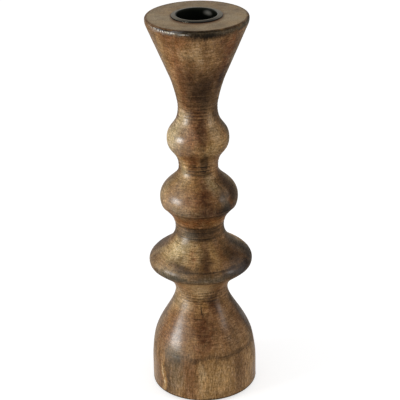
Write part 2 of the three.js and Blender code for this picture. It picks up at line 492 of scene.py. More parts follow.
# Finish of the wood. Each mark: angle, height (mm), half width (degrees), half height (mm), edge, strength.
woodFinish = {
    "tan": colour(165, 129, 90), "brown": colour(122, 84, 53), "pale": colour(222, 199, 158),
    "honey": colour(190, 150, 98), "rust": colour(152, 96, 56), "umber": colour(94, 55, 31),
    "burnt": colour(44, 29, 19), "black": colour(22, 18, 14), "raw": colour(176, 144, 102),
    "pore": colour(34, 23, 16), "chipAndGlint": colour(238, 232, 220), "grey": colour(118, 112, 94),
    "faceTone": colour(178, 158, 128), "faceDark": colour(126, 108, 86),
    "paintedShadeTint": (0.62, 0.77, 0.93, 1.0), "amberTint": (1.0, 0.985, 0.87, 1.0),
    "roughness": 0.5, "coatRoughness": 0.27, "specular": 0.02, "coatIor": 1.76,
    "coatWeight": 0.06, "coatOnCone": 0.02, "coatOnTop": 0.06,
    "ringPitch": 0.9, "arcPitch": 0.6, "arcSpread": 3.2, "ripple": 5.0,
    # how far marks stray from their ovals, in degrees and millimetres; near ones keep to edges and rings
    "strayAngle": 6.0, "strayHeight": 2.2, "nearAngle": 0.9, "nearHeight": 0.3,
    # heights and radii (mm) over which the top face, the rim, the cone, the skirt and the bore begin
    "topFace": (227.75, 227.95), "topEdge": (28.1, 26.9), "underRim": (210.0, 220.0),
    "offTop": (226.9, 226.0), "cone": (172.0, 190.0), "skirt": (34.0, 24.0),
    "boreSide": (12.8, 12.6), "boreFloor": (198.0, 200.0), "underneath": (0.12, 0.02),
    # pale wood, and painted light: on the lit left side, round the large bead's highlight and on the neck
    # under the saucer
    "paleAndLitMarks": {
        "smallBeadLeft": (-64, 162, 24, 11, 0.9, 0.95), "topNeckLeft": (-48, 171, 18, 5, 1, 0.8),
        "upperNeckLeft": (-50, 139, 15, 5, 1, 0.75), "largeBeadLeft": (-76, 124, 9, 9, 0.9, 0.22),
        "largeBeadTop": (-44, 134.5, 16, 2.6, 0.9, 0.35), "largeBeadLow": (-26, 119, 16, 3.5, 1, 0.25),
        "saucerLeft": (-46, 91.5, 22, 4.5, 0.95, 0.95), "underSaucer": (-6, 68, 20, 6, 1, 0.55),
        "saucerEdgeLeft": (-44, 82.6, 18, 1.8, 0.95, 0.32), "saucerFarLeft": (-75, 90, 11, 3, 0.9, 0.45),
        "bellUpperLeft": (-52, 56, 20, 5, 1, 0.4), "smallBeadRight": (36, 167, 15, 8, 0.85, 0.2),
        "largeBeadRight": (24, 133.5, 14, 4, 0.85, 0.5), "coneMiddle": (-2, 212, 6, 8, 1, 0.18),
        "coneBar": (-12, 212, 12, 3, 1, 0.25), "saucerMiddle": (-12, 91, 9, 3.5, 1, 0.5),
        "lowerNeckLeft": (-62, 62, 26, 7, 1, 0.32), "skirtLine": (-54, 10, 1.2, 10, 0.5, 0.75),
        "skirtRound": (0, 12, 400, 14, 0.4, 0.04), "skirtFront": (-3, 16, 3, 9, 1, 0.35),
        "backBead": (175, 164, 18, 8, 1, 0.5), "backBell": (-130, 52, 20, 8, 1, 0.4),
    },
    "honeyMarks": {
        "coneLeft": (-52, 209, 10, 14, 1, 0.5), "coneMiddle": (-8, 212, 14, 7, 1, 0.35),
        "coneRight": (22, 210, 12, 8, 1, 0.2), "smallBeadLow": (14, 156, 52, 4.5, 0.85, 0.6),
        "smallBeadRight": (38, 162, 20, 6, 1, 0.3), "largeBeadLeft": (-60, 129, 14, 6, 1, 0.42),
        "underLeftNeck": (-45, 146, 13, 6, 1, 0.7), "largeBeadMiddle": (-14, 118.5, 11, 3.5, 0.9, 0.75),
        "largeBeadHigh": (-24, 132, 18, 4, 1, 0.7), "largeBeadScuff": (-24, 119, 16, 4.5, 1, 0.6),
        "collar": (31, 110, 16, 3.5, 0.85, 0.78), "saucerLeft": (-54, 91, 18, 4.5, 0.85, 1.0),
        "saucerMiddle": (-22, 92.5, 9, 4, 0.9, 0.9), "saucerRight": (20, 91, 9, 5, 0.85, 0.55),
        "saucerInner": (-6, 90, 7, 5, 0.95, 0.85), "underSaucer": (-4, 69, 26, 7, 0.75, 1.0),
        "bellPatch": (-3, 53.4, 13, 5.0, 0.3, 0.76), "bellSpot": (-60, 42, 7, 4, 0.95, 0.7),
        "bellUpperLeft": (-65, 52, 15, 6, 1, 0.5), "bellLow": (-17, 34, 4, 6, 1, 0.45),
        "skirtStreak": (-52, 9, 4.2, 11, 0.6, 0.9), "skirtStreakTop": (-51, 22, 2.2, 6, 0.6, 0.5),
        "skirtLow": (-29, 6, 6, 8, 0.95, 0.4), "skirtFront": (10, 12, 20, 13, 0.9, 0.7),
        "skirtRight": (66, 13, 9, 9, 1, 0.3), "backCone": (150, 208, 16, 13, 1, 0.5),
        "backBead": (-140, 158, 22, 7, 1, 0.5), "backSaucer": (130, 89, 20, 5, 0.95, 0.6),
        "backBell": (-165, 44, 9, 14, 0.95, 0.6), "backSkirt": (115, 12, 3, 14, 0.85, 0.8),
        "backLarge": (170, 126, 20, 8, 1, 0.5),
    },
    "rustMarks": {
        "saucerKnot": (-13, 90.5, 6, 2.6, 0.9, 0.6), "bellPatch": (0, 55, 10, 5, 1, 0.28),
        "coneRim": (46, 218, 8, 5, 0.95, 0.7), "coneLeft": (-34, 208, 9, 14, 1, 0.55),
        "coneTicks": (-24, 222, 18, 4, 1, 0.5), "coneLow": (-40, 190, 10, 14, 1, 0.55),
        "topNeckRings": (-14, 175, 16, 6, 1, 0.6), "smallBead": (-14, 160, 20, 8, 1, 0.5),
        "upperNeck": (-24, 149, 24, 7, 1, 0.55), "largeBead": (-8, 122, 20, 9, 1, 0.55),
        "largeBeadEdge": (53, 121, 5, 3.5, 0.85, 0.8), "collar": (6, 110.5, 66, 5, 1, 0.75),
        "underSaucer": (0, 70, 44, 7, 1, 0.35), "bell": (0, 44, 24, 12, 1, 0.3),
        "bellRight": (48, 42, 18, 9, 1, 0.05), "bellLeft": (-64, 40, 14, 9, 1, 0.5),
        "skirtStreak": (-50, 12, 6, 12, 0.8, 0.2), "skirtMiddle": (-20, 12, 9, 12, 1, 0.26),
        "saucerRight": (32, 90, 5, 4, 1, 0.4), "backKnot": (-120, 38, 9, 5, 0.95, 0.6),
        "backCone": (-150, 205, 14, 12, 1, 0.5),
    },
    "umberMarks": {
        "coneLow": (-20, 196, 14, 11, 1, 0.6), "topNeckLeft": (-36, 187, 10, 7, 1, 0.35),
        "coneDark": (33, 217, 9, 7, 0.95, 0.75), "coneRight": (48, 208, 14, 16, 1, 0.9),
        "coneTop": (-30, 224, 14, 2.4, 1, 0.5), "bellNeck": (17, 56, 9, 5.5, 0.75, 0.85),
        "collar": (0, 110.5, 70, 5, 0.75, 0.32), "collarFront": (2, 110.5, 20, 5, 1, 0.74),
        "skirtMiddle": (-19, 14, 8, 13, 1, 0.24), "largeBeadLow": (20, 116, 48, 4, 1, 0.85),
        "largeBead": (4, 124, 17, 10, 0.9, 0.92), "bellRight": (26, 36, 16, 8, 1, 0.18),
        "bellMiddle": (1, 43, 16, 11, 0.9, 0.85), "bellFarRight": (77, 43, 14, 14, 0.9, 0.52),
        "topNeckFarLeft": (-84, 176, 17, 9, 0.9, 0.95), "upperNeckFarLeft": (-76, 142, 13, 6, 0.9, 0.5),
        "saucerFarRight": (74, 88, 15, 8, 0.9, 0.4), "smallBeadMiddle": (2, 165, 12, 10, 0.7, 0.85),
        "upperNeck": (-17, 147, 11, 6, 0.75, 0.75), "topNeckRings": (-5, 173, 32, 6, 0.75, 0.5),
        "saucerBand": (30, 80, 60, 3.0, 0.95, 0.4), "saucerMiddle": (2, 88.5, 7, 6, 1, 0.4),
        "saucerLow": (-26, 79.5, 12, 3, 0.95, 0.5), "skirtRight": (42, 16, 7, 14, 1, 0.3),
        "skirtFarLeft": (-68, 12, 8, 12, 0.9, 0.32), "backCone": (-120, 200, 25, 16, 1, 0.5),
        "backBell": (140, 40, 25, 12, 1, 0.6), "sideBell": (-108, 36, 14, 12, 0.9, 0.6),
        "sideCone": (100, 206, 16, 14, 1, 0.6), "backLarge": (-130, 122, 25, 8, 1, 0.4),
    },
    "burntMarks": {
        "rimFront": (10, 226.2, 48, 2.2, 0.5, 0.9), "rimRight": (68, 226.6, 28, 1.6, 0.6, 0.8),
        "topNeck": (6, 187, 42, 12, 0.85, 0.9), "topNeckRight": (50, 192, 16, 9, 0.85, 0.95),
        "topNeckFarRight": (58, 176, 18, 6, 0.9, 0.8), "smallBead": (3, 166, 9, 9, 0.85, 0.6),
        "upperNeckRight": (12, 145, 11, 8, 0.4, 0.8), "upperNeckLow": (10, 138.8, 16, 2.6, 0.75, 0.5),
        "largeBeadRight": (62, 127, 17, 8, 0.8, 0.84), "largeBeadLowRight": (41, 118.3, 16, 4.4, 0.9, 1.0),
        "largeBeadLow": (2, 116, 16, 4, 1, 0.4), "largeBeadBlue": (37, 126, 10, 4, 0.85, 0.6),
        "bellEdgeRight": (86, 44, 10, 16, 1, 0.4), "largeBeadMiddle": (5, 121, 9, 8, 1, 0.55),
        "middleNeck": (3, 101, 46, 4.6, 0.65, 0.85), "middleNeckRound": (180, 100.3, 140, 4.2, 0.75, 0.7),
        "saucerMiddle": (4, 87, 8, 8, 1, 0.62), "saucerRight": (52, 88, 20, 8, 0.9, 0.65),
        "saucerEdge": (50, 80.8, 34, 4.2, 0.7, 0.95), "saucerCurve": (-20, 85.2, 14, 1.3, 1, 0.75),
        "saucerCurveLeft": (-38, 87.2, 10, 1.3, 1, 0.42), "saucerCurveRight": (30, 83.4, 34, 0.9, 1, 0.6),
        "saucerLow": (-42, 78.6, 30, 2.3, 0.8, 0.75), "lowerNeck": (20, 61, 13, 6, 0.8, 0.5),
        "underSaucer": (20, 72, 9, 6, 0.85, 0.5), "bellMiddle": (2, 42, 11, 6, 1, 0.3),
        "scribeBand": (34, 28.1, 42, 1.5, 1, 0.45), "scribeSmudge": (-12, 28.2, 9, 1.5, 1, 0.55),
        "scribeSmudgeRight": (8, 27.8, 7, 1.2, 1, 0.5), "skirtLeft": (-45, 12, 2.6, 13, 0.9, 0.66),
        "skirtUpper": (-36, 25, 11, 5, 0.95, 0.8), "skirtRight": (42, 18, 4, 12, 1, 0.35),
        "skirtGrey": (-38, 14, 6, 12, 1, 0.35), "bellFleck": (-20, 30, 7, 3, 0.95, 0.25),
        "backTopNeck": (170, 187, 70, 11, 0.85, 0.85), "backUpperNeck": (150, 143, 40, 7, 0.75, 0.7),
        "backSaucer": (-120, 84, 24, 7, 0.85, 0.8), "backLowerNeck": (180, 61, 50, 5, 0.85, 0.6),
        "backSkirt": (-155, 14, 6, 14, 0.95, 0.6), "backBead": (160, 128, 18, 6, 0.85, 0.7),
        "smallBeadFarRight": (86, 163, 14, 9, 0.9, 0.32), "saucerFarRight": (86, 85, 16, 8, 0.9, 0.85),
        "sideSkirt": (104, 12, 5, 15, 0.9, 0.5), "backBellFoot": (172, 30, 22, 4, 0.95, 0.5),
        "sideSmallBead": (-112, 166, 14, 8, 0.9, 0.6), "backRim": (-165, 225.6, 34, 1.8, 0.7, 0.7),
    },
    # soot and old finish along edges and in the cut rings, and painted shade under the lips of the saucer and
    # the large bead and along the foot's edge, which keep closer to their lines
    "sootAndCreaseShadeMarks": {
        "rim": (0, 227.75, 400, 0.5, 0.5, 0.42), "rimLine": (4, 227.3, 44, 0.45, 0.8, 0.8),
        "rimFront": (8, 224.8, 21, 2.1, 0.8, 0.95), "rimLeft": (-40, 227.2, 18, 0.6, 0.6, 0.95),
        "footEdge": (0, 0.3, 400, 0.8, 0.5, 0.85), "scribe": (24, 27.5, 62, 0.55, 1, 0.42),
        "scribeRound": (180, 27.4, 110, 0.45, 0.6, 0.3), "neckRing1": (-14, 175.0, 26, 0.3, 0.8, 0.55),
        "neckRing2": (2, 173.1, 40, 0.32, 0.7, 0.6), "neckRing3": (-2, 171.2, 30, 0.3, 0.8, 0.6),
        "neckRing4": (22, 179.1, 40, 0.28, 0.8, 0.45), "neckRing5": (10, 183.4, 50, 0.25, 0.8, 0.4),
        "neckRing6": (8, 176.9, 34, 0.22, 0.8, 0.4), "upperRing1": (4, 142.3, 30, 0.45, 0.5, 0.9),
        "upperRing2": (2, 139.7, 36, 0.4, 0.5, 0.85), "upperRing3": (4, 137.7, 30, 0.4, 0.5, 0.85),
        "middleRing1": (0, 104.7, 400, 0.5, 0.6, 0.65), "saucerShoulder": (24, 83.8, 60, 0.4, 1, 0.6),
        "saucerShoulderLeft": (-32, 86.0, 20, 0.5, 1, 0.6), "middleRing2": (0, 102.2, 400, 0.35, 0.5, 0.5),
        "middleRing3": (0, 98.5, 400, 0.35, 0.6, 0.5), "beadLip": (0, 114.7, 400, 0.5, 0.6, 0.5),
        "saucerLip": (0, 76.8, 400, 0.5, 0.5, 0.85), "lowerRing1": (26, 64.1, 44, 0.35, 0.8, 0.45),
        "lowerRing2": (20, 61.8, 60, 0.3, 0.8, 0.45), "lowerRing3": (22, 60.3, 70, 0.4, 0.8, 0.6),
        "lowerRing4": (18, 58.4, 60, 0.35, 0.8, 0.55), "lowerRingBack": (180, 60.3, 90, 0.4, 0.6, 0.4),
        "beadFleck": (41, 131.5, 1.8, 2.6, 0.9, 0.7), "beadFleckLow": (60, 119.5, 1.8, 0.8, 0.8, 0.75),
    },
    # grey where wax and handling have dulled the finish, and grey painted highlights and reflections beside
    # the lit places on the beads, the necks and the bell
    "greyWearAndSheenMarks": {
        "largeBeadBlue": (40, 123, 9, 5, 0.9, 0.22), "largeBeadLight": (-40, 124, 11, 5, 0.9, 0.2),
        "rimFront": (14, 226.2, 46, 1.4, 0.5, 0.36), "rimRight": (66, 226.6, 26, 1.2, 0.5, 0.36),
        "rimLeft": (-20, 226.2, 16, 1.4, 0.6, 0.36), "bellLow": (-39, 29, 11, 6, 1, 0.5),
        "bellLight": (-37, 38, 9, 9, 0.9, 0.2), "bellRight": (46, 39, 11, 9, 1, 0.15),
        "saucerLow": (-34, 80.5, 24, 3.2, 0.9, 0.5), "saucerFront": (2, 79.5, 26, 2.6, 1, 0.4),
        "skirtLeft": (-36, 15, 9, 14, 1, 0.35), "middleNeck": (-38, 98.5, 20, 5, 1, 0.45),
    },
    # lighter places on the top face
    "faceMarks": {
        "left": (-78, 228, 40, 9, 1, 0.9), "right": (72, 228, 40, 9, 1, 1.0),
        "frontRight": (14, 228, 18, 9, 1, 0.55), "back": (165, 228, 30, 9, 1, 0.2),
    },
    # ridges between the rings, rubbed lighter, and painted highlights along the lips of the saucer and the
    # large bead
    "ridgeAndEdgeLightMarks": {
        "upper1": (6, 137.9, 30, 0.3, 0.6, 0.6), "upper2": (8, 140.3, 34, 0.25, 0.6, 0.5),
        "upper3": (-12, 143.2, 26, 0.25, 0.6, 0.35), "top1": (-12, 172.1, 30, 0.28, 0.8, 0.4),
        "top2": (-4, 174.1, 34, 0.25, 0.8, 0.35), "top3": (-8, 178.0, 40, 0.25, 0.8, 0.25),
        "top4": (-10, 181.2, 50, 0.25, 0.6, 0.3), "top5": (12, 185.6, 46, 0.25, 0.6, 0.25),
        "middle1": (-10, 99.4, 34, 0.25, 0.6, 0.35), "middle2": (-6, 96.8, 38, 0.25, 0.6, 0.4),
        "lower1": (4, 59.4, 60, 0.3, 0.6, 0.45), "lower2": (4, 63.0, 60, 0.25, 0.6, 0.35),
        "beadScratch1": (-47, 129.8, 11, 0.28, 0.8, 0.4), "beadScratch2": (-43, 128.5, 9, 0.28, 0.8, 0.35),
        "beadScratch3": (-30, 118.6, 10, 0.28, 0.8, 0.4), "saucerLip": (0, 77.7, 70, 0.3, 0.6, 0.3),
        "beadLip": (0, 116.2, 60, 0.3, 0.6, 0.3),
    },
    # chips along the rim, where the pale ground shows, most of them where the light glints on the rim, as a
    # painted highlight
    "chipAndGlintMarks": {
        "rimLeft": (-37, 226.4, 11, 0.5, 0.5, 1.0), "rimFarLeft": (-55, 226.7, 8, 0.4, 0.6, 0.7),
        "rimFront": (-15, 226.0, 6, 0.3, 0.8, 0.5), "rimBack": (150, 226.6, 14, 0.5, 0.5, 0.6),
    },
    # where the varnish lies thickest
    "varnishMarks": {
        "smallBead": (-38, 161, 24, 8, 0.8, 0.95), "smallBeadTop": (-38, 171, 18, 5, 0.8, 0.6),
        "largeBead": (-40, 125, 24, 8, 0.8, 0.95), "upperNeck": (-38, 137, 20, 4, 0.8, 0.6),
        "middleNeck": (-37, 99, 20, 6, 0.8, 0.5), "saucerEdge": (-38, 83.4, 26, 3, 0.8, 0.55),
        "bell": (-38, 36, 22, 13, 0.7, 0.75), "bellUpper": (-38, 54, 16, 6, 0.9, 0.35),
        "bellRight": (33, 51, 11, 8, 0.9, 0.3), "rimLeft": (-40, 226.4, 22, 1.2, 0.6, 1.0),
        "largeBeadRight": (42, 125.5, 10, 4.5, 0.8, 0.42), "smallBeadRight": (36, 166, 13, 7, 0.8, 0.3),
        "saucerRight": (40, 83, 18, 4, 0.8, 0.4), "backBell": (150, 42, 24, 16, 0.8, 0.7),
        "backLarge": (160, 124, 24, 8, 0.8, 0.7), "backSmall": (-150, 162, 24, 8, 0.8, 0.7),
        "backSaucer": (-160, 84, 28, 5, 0.8, 0.6), "sideBell": (98, 40, 16, 14, 0.8, 0.5),
        "sideLarge": (-105, 126, 18, 7, 0.8, 0.6),
    },
    # places kept out of the painted shade, where the varnish also keeps its gloss at a slant
    "keptUnshadedMarks": {
        "skirt": (0, 6, 400, 18, 0.4, 0.6), "skirtRight": (88, 12, 14, 16, 0.6, 1.0),
        "upperNeckRight": (82, 145, 24, 8, 0.5, 0.95), "underSaucer": (0, 68, 400, 10, 0.4, 1.0),
        "saucerLeft": (-64, 91.5, 28, 6, 0.6, 1.0), "largeBeadLeft": (-72, 126, 14, 8, 0.7, 0.6),
        "leftSide": (-80, 120, 30, 150, 0.4, 0.4), "smallBeadLeft": (-76, 163, 26, 10, 0.5, 0.9),
    },
    # where the old finish has yellowed
    "amberMarks": {
        "beads": (0, 122, 400, 48, 0.25, 0.6), "bell": (0, 42, 400, 22, 0.4, 0.24),
        "collar": (0, 110, 400, 5, 0.8, 0.7),
    },
    # painted shade: darker and cooler down the left and right sides, round the cone, and under the beads and
    # the saucer
    "paintedShadeMarks": {
        "left": (-89, 114, 20, 5000, 0.7, 1.0), "right": (89, 114, 20, 5000, 0.7, 1.0),
        "coneLeft": (-80, 208, 22, 22, 0.7, 1.0), "coneRight": (80, 208, 22, 22, 0.7, 1.0),
        "underSmallBead": (0, 154, 400, 4, 0.6, 0.3), "underLargeBead": (0, 116, 400, 3.5, 0.6, 0.5),
        "underSaucer": (0, 77.8, 400, 2.6, 0.5, 0.5),
    },
    # where hands have kept the sides polished, so that they catch the light at a slant
    "polishMarks": {
        "skirt": (-88, 8, 26, 17, 0.6, 0.34), "bell": (-88, 43, 26, 16, 0.6, 0.26),
        "lowerNeck": (-88, 64, 26, 7, 0.6, 0.18), "saucer": (-88, 86, 26, 8, 0.6, 0.15),
        "collar": (-88, 106, 26, 9, 0.6, 0.1), "largeBead": (-88, 124, 26, 9, 0.6, 0.06),
        "smallBead": (-88, 163, 26, 11, 0.6, 0.16), "cone": (-84, 208, 26, 20, 0.6, 0.14),
        "skirtRight": (88, 8, 24, 17, 0.6, 0.24), "upperNeckRight": (88, 143, 24, 7, 0.6, 0.18),
        "collarRight": (88, 106, 24, 7, 0.6, 0.05),
    },
    # a drying crack in the bell, and the scratch across its foot
    "crackMarks": {
        "upright": (-4.6, 55.2, 0.7, 1.9, 0.5, 0.9), "slant": (-3.4, 52.6, 0.8, 1.6, 0.5, 0.9),
        "slantLow": (-1.2, 50.6, 1.0, 1.0, 0.6, 0.8), "level": (-9, 48.8, 9, 0.26, 0.6, 0.8),
        "arch": (-10, 57.2, 7, 0.24, 0.7, 0.5), "backCrack": (-163, 38, 0.6, 7, 0.6, 0.7),
    },
    # the necks, where the tool's rings stay deepest: height, half height
    "ringedZones": ((181, 16), (142, 8), (101, 8), (61, 8)),
}


def markMask(tree, marks, place):
    mask = 0.0
    for name, mark in marks.items():
        mask = spotMask(tree, place, *mark, under=mask)
        mask.node.label = name
    return mask


def strayedPlaces(tree, look, position, place, figure):
    # Marks stray from their true ovals, as stain and scorching do.
    source = stretched(tree, position, (1.0, 1.0, 0.6))
    inputs = {"Vector": source, "Scale": 110.0, "Detail": 5.0, "Roughness": 0.6}
    drift = addNode(tree, "TexNoise", inputs).outputs["Color"]
    drift = addNode(tree, "SeparateColor", {0: drift}).outputs

    def strayed(coordinate, channel, reach):
        offset = remap(tree, drift[channel], 0.3, 0.7, -reach, reach)
        return calc(tree, "ADD", place[coordinate], offset)

    angle = strayed("Angle", 0, look["strayAngle"])
    height = strayed("Height", 1, look["strayHeight"])
    nearHeight = strayed("Height", 2, look["nearHeight"])
    nearAngle = strayed("Angle", 1, look["nearAngle"])
    # under the rim the soot follows the fibres
    tick = remap(tree, figure["Fibre"], 0.3, 0.7, -1.0, 1.0)
    tick = times(tree, tick, remap(tree, place["Height"], *look["offTop"]))
    rimHeight = calc(tree, "MULTIPLY_ADD", tick, remap(tree, place["Height"], *look["underRim"]), nearHeight)
    return {
        "wide": flatPlace(tree, angle, height), "near": flatPlace(tree, angle, nearHeight),
        "line": flatPlace(tree, angle, rimHeight), "crack": flatPlace(tree, nearAngle, nearHeight),
        "face": flatPlace(tree, angle, place["Height"]), "drift": drift[1],
    }


def stainColour(tree, look, position, place, figure, spots, crack):
    # Stain and scorching with pale wood and painted light, grey wear with painted highlights, then the lines
    # along edges and rings with painted shade in the creases, the rubbed ridges with painted edge highlights,
    # and the chips with a painted glint.
    cloud = times(tree, figure["Cloud"], 0.55)
    tone = calc(tree, "MULTIPLY_ADD", figure["Streak"], 0.45, cloud, clamp=True)
    strong = remap(tree, tone, 0.0, 1.0, 0.65, 1.0)
    mottle = remap(tree, noiseValue(tree, position, 340.0, 4.0, 0.68), 0.37, 0.6, 0.35, 1.12)
    soot = remap(tree, figure["Cloud"], 0.0, 1.0, 1.15, 0.8)
    base = mixColour(tree, tone, look["brown"], look["tan"])
    stains = (
        ("honey", "honeyMarks", strong), ("pale", "paleAndLitMarks", strong), ("rust", "rustMarks", mottle),
        ("umber", "umberMarks", mottle), ("burnt", "burntMarks", soot),
    )
    for shade, marks, patches in stains:
        mask = times(tree, markMask(tree, look[marks], spots["wide"]), patches)
        base = mixColour(tree, mask, base, look[shade])
    # grey wear, with painted highlights and reflections
    base = mixColour(tree, markMask(tree, look["greyWearAndSheenMarks"], spots["near"]), base, look["grey"])
    kept = remap(tree, spots["drift"], 0.35, 0.6, 0.6, 1.0)
    kept = calc(tree, "MAXIMUM", kept, remap(tree, place["Height"], *look["underRim"]))
    sootAndCreaseShade = times(tree, markMask(tree, look["sootAndCreaseShadeMarks"], spots["line"]), kept)
    base = mixColour(tree, calc(tree, "MAXIMUM", sootAndCreaseShade, crack), base, look["black"])
    ridgeAndEdgeLight = times(tree, markMask(tree, look["ridgeAndEdgeLightMarks"], spots["near"]), strong)
    base = mixColour(tree, ridgeAndEdgeLight, base, look["tan"])
    flake = noiseValue(tree, stretched(tree, position, (1.0, 1.0, 0.45)), 700.0, 3.0, 0.7)
    chipAndGlintMask = times(tree, markMask(tree, look["chipAndGlintMarks"], spots["near"]), remap(tree, flake, 0.4, 0.5))
    return mixColour(tree, chipAndGlintMask, base, look["chipAndGlint"])


def grainShade(tree, look, position, place, figure, lines, grain):
    # How much the tool's rings, the streaks, the fibres and the grain lighten or darken the wood.
    ringed = 0.0
    level = flatPlace(tree, 0.0, place["Height"])
    for middle, half in look["ringedZones"]:
        ringed = spotMask(tree, level, 0.0, middle, 400.0, half, 0.6, under=ringed)
    ringDark = remap(tree, ringed, 0.0, 1.0, 0.88, 0.6)
    ringLight = remap(tree, ringed, 0.0, 1.0, 1.08, 1.26)
    arcs = lathed(tree, place, look["arcPitch"], look["arcSpread"])["Fine"]
    onSkirt = remap(tree, place["Height"], *look["skirt"], 0.0, 0.85)
    across = between(tree, onSkirt, arcs, remap(tree, figure["Fibre"], 0.34, 0.66))
    shade = between(tree, lines["Fine"], ringDark, ringLight)
    contrasts = (  # each with its own range, and the shade at either end
        (figure["Streak"], 0.0, 1.0, 0.8, 1.14), (figure["Fibre"], 0.3, 0.7, 0.88, 1.1),
        (grain, 0.34, 0.66, 0.55, 1.42), (across, 0.0, 1.0, 0.62, 1.36),
    )
    for contrast in contrasts:
        shade = times(tree, shade, remap(tree, *contrast))
    # dark grain is richer in colour than light grain, and the stain took unevenly
    warmth = noiseValue(tree, stretched(tree, position, (1.0, 1.0, 0.6)), 620.0, 3.0, 0.65)
    redWarmth = remap(tree, warmth, 0.32, 0.68, 0.96, 1.04)
    blueWarmth = remap(tree, warmth, 0.32, 0.68, 1.1, 0.88)
    red = times(tree, calc(tree, "POWER", shade, 0.95), redWarmth)
    blue = times(tree, calc(tree, "POWER", shade, 1.22), blueWarmth)
    return addNode(tree, "CombineColor", {0: red, 1: shade, 2: blue}).outputs[0]


def topFaceColour(tree, look, position, place, spots, grain):
    # The flat top face is greyer, a painted sheen, and darker round the cup, a painted shadow, most of all in
    # front of it.
    figure = noiseValue(tree, stretched(tree, position, (0.6, 1.0, 1.0)), 200.0, 5.0, 0.65)
    figure = times(tree, remap(tree, figure, 0.32, 0.68), 0.75)
    light = markMask(tree, look["faceMarks"], spots["face"])
    tone = calc(tree, "MULTIPLY_ADD", light, 0.55, figure, clamp=True)
    face = mixColour(tree, tone, look["faceDark"], look["faceTone"])
    warm = remap(tree, noiseValue(tree, position, 95.0, 3.0, 0.6), 0.45, 0.68, 0.0, 0.26)
    face = mixColour(tree, warm, face, look["honey"])
    # painted shadow round the cup's flange, wider and darker in front of it
    beforeCup = flatPlace(tree, place["Angle"], place["Height"])
    beforeCup = spotMask(tree, beforeCup, 0.0, 228.0, 62.0, 9.0, 0.4, 0.35)
    paintedCupShadow = remap(tree, place["Radius"], remap(tree, beforeCup, 0.0, 0.35, 15.6, 18.0), 14.6)
    paintedCupShadow = times(tree, paintedCupShadow, calc(tree, "ADD", beforeCup, 0.5))
    face = mixColour(tree, paintedCupShadow, face, look["umber"])
    endGrain = remap(tree, grain, 0.34, 0.66, 0.6, 1.36)
    endGrain = addNode(tree, "CombineColor", {0: endGrain, 1: endGrain, 2: endGrain}).outputs[0]
    return mixColour(tree, 0.6, face, endGrain, "MULTIPLY")


def varnishWeight(tree, look, place, spots, haze, onTop, unstained, keptUnshaded):
    # The varnish is thin on the cone, thick where the marks say, and duller at a slant.
    onCone = remap(tree, place["Height"], *look["cone"])
    coat = between(tree, onCone, look["coatWeight"], look["coatOnCone"])
    coat = calc(tree, "MAXIMUM", coat, markMask(tree, look["varnishMarks"], spots["wide"]))
    coat = between(tree, onTop, coat, look["coatOnTop"])
    coat = times(tree, coat, remap(tree, haze, 0.0, 1.0, 1.0, 0.6))
    coat = times(tree, coat, without(tree, unstained))
    facing = addNode(tree, "LayerWeight", {"Blend": 0.5}).outputs["Facing"]
    slant = remap(tree, facing, 0.42, 0.85, smooth=True)
    slant = times(tree, times(tree, slant, without(tree, onTop)), without(tree, keptUnshaded))
    coat = times(tree, coat, remap(tree, slant, 0.0, 1.0, 1.0, 0.35))
    return calc(tree, "MAXIMUM", coat, markMask(tree, look["polishMarks"], spots["wide"]))


def woodRelief(tree, look, position, figure, lines, grain, crack):
    relief = times(tree, figure["Fibre"], 0.8)
    ripple = noiseValue(tree, position, 560.0, 2.0, 0.6)
    heights = (
        (lines["Fine"], 0.5), (lines["Coarse"], 0.5), (figure["Pore"], -0.8),
        (grain, 0.9), (ripple, look["ripple"]), (crack, -1.5),
    )
    for value, amount in heights:
        relief = calc(tree, "MULTIPLY_ADD", value, amount, relief)
    return bumped(tree, relief, 0.45, 0.00025)


